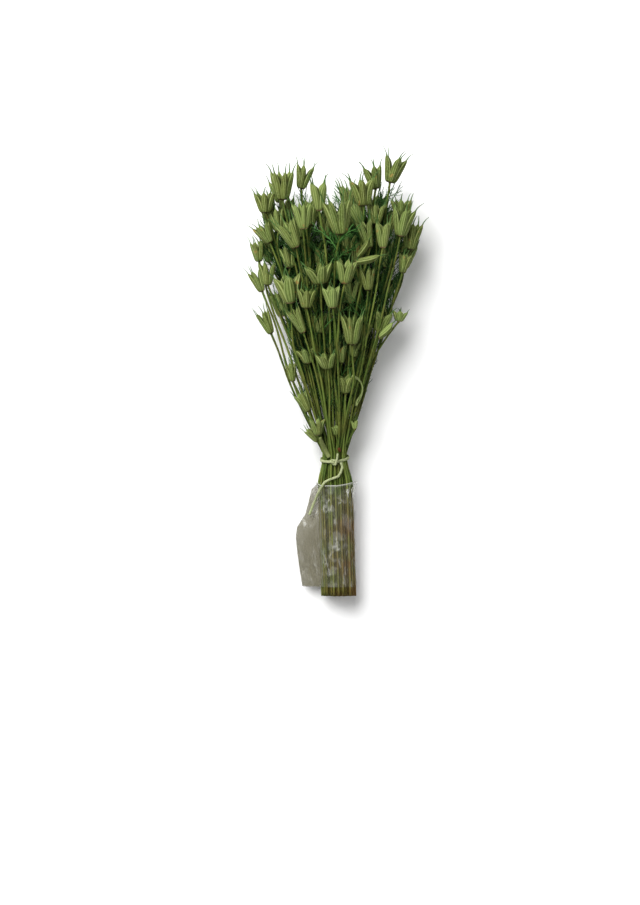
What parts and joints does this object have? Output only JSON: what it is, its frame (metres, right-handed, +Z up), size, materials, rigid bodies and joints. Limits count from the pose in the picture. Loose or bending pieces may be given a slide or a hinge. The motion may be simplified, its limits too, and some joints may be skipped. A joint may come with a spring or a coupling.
{
  "type": "dried nigella seed pod bunch",
  "caption": "Tied bunch of dried green nigella seed pods on thin stems, with thread leaves, a fibre string tie and a clear film sleeve, lying on its side.",
  "frame": {"origin": "centre of the bunch's box at the surface that it lies on, measured without the string's tail", "axes": "+Y along the bunch from the cut ends to the heads, +X to the right seen from above, +Z up from the surface"},
  "size_m": [0.1824, 0.45, 0.1151],
  "materials": {
    "dried_pod": "matte dried plant, olive green with paler ribs",
    "string": "flat twisted plant fibre, dull sage",
    "film": "thin clear crumpled film, glossy"
  },
  "bodies": {
    "root": {"pod_stem_01": "dried_pod", "pod_stem_02": "dried_pod", "pod_stem_03": "dried_pod", "pod_stem_04": "dried_pod", "pod_stem_05": "dried_pod", "pod_stem_06": "dried_pod", "pod_stem_07": "dried_pod", "pod_stem_08": "dried_pod", "pod_stem_09": "dried_pod", "pod_stem_10": "dried_pod", "pod_stem_11": "dried_pod", "pod_stem_12": "dried_pod", "pod_stem_13": "dried_pod", "pod_stem_14": "dried_pod", "pod_stem_15": "dried_pod", "pod_stem_16": "dried_pod", "pod_stem_17": "dried_pod", "pod_stem_18": "dried_pod", "pod_stem_19": "dried_pod", "pod_stem_20": "dried_pod", "pod_stem_21": "dried_pod", "pod_stem_22": "dried_pod", "pod_stem_23": "dried_pod", "pod_stem_24": "dried_pod", "pod_stem_25": "dried_pod", "pod_stem_26": "dried_pod", "pod_stem_27": "dried_pod", "pod_stem_28": "dried_pod", "pod_stem_29": "dried_pod", "pod_stem_30": "dried_pod", "pod_stem_31": "dried_pod", "pod_stem_32": "dried_pod", "pod_stem_33": "dried_pod", "pod_stem_34": "dried_pod", "pod_stem_35": "dried_pod", "pod_stem_36": "dried_pod", "pod_stem_37": "dried_pod", "pod_stem_38": "dried_pod", "pod_stem_39": "dried_pod", "pod_stem_40": "dried_pod", "pod_stem_41": "dried_pod", "pod_stem_42": "dried_pod", "pod_stem_43": "dried_pod", "pod_stem_44": "dried_pod", "pod_stem_45": "dried_pod", "pod_stem_46": "dried_pod", "pod_stem_47": "dried_pod", "pod_stem_48": "dried_pod", "pod_stem_49": "dried_pod", "pod_stem_50": "dried_pod", "pod_stem_51": "dried_pod", "pod_stem_52": "dried_pod", "pod_stem_53": "dried_pod", "pod_stem_54": "dried_pod", "pod_stem_55": "dried_pod", "tie": "string", "tie_tail": "string", "sleeve": "film"}
  },
  "joints": []
}
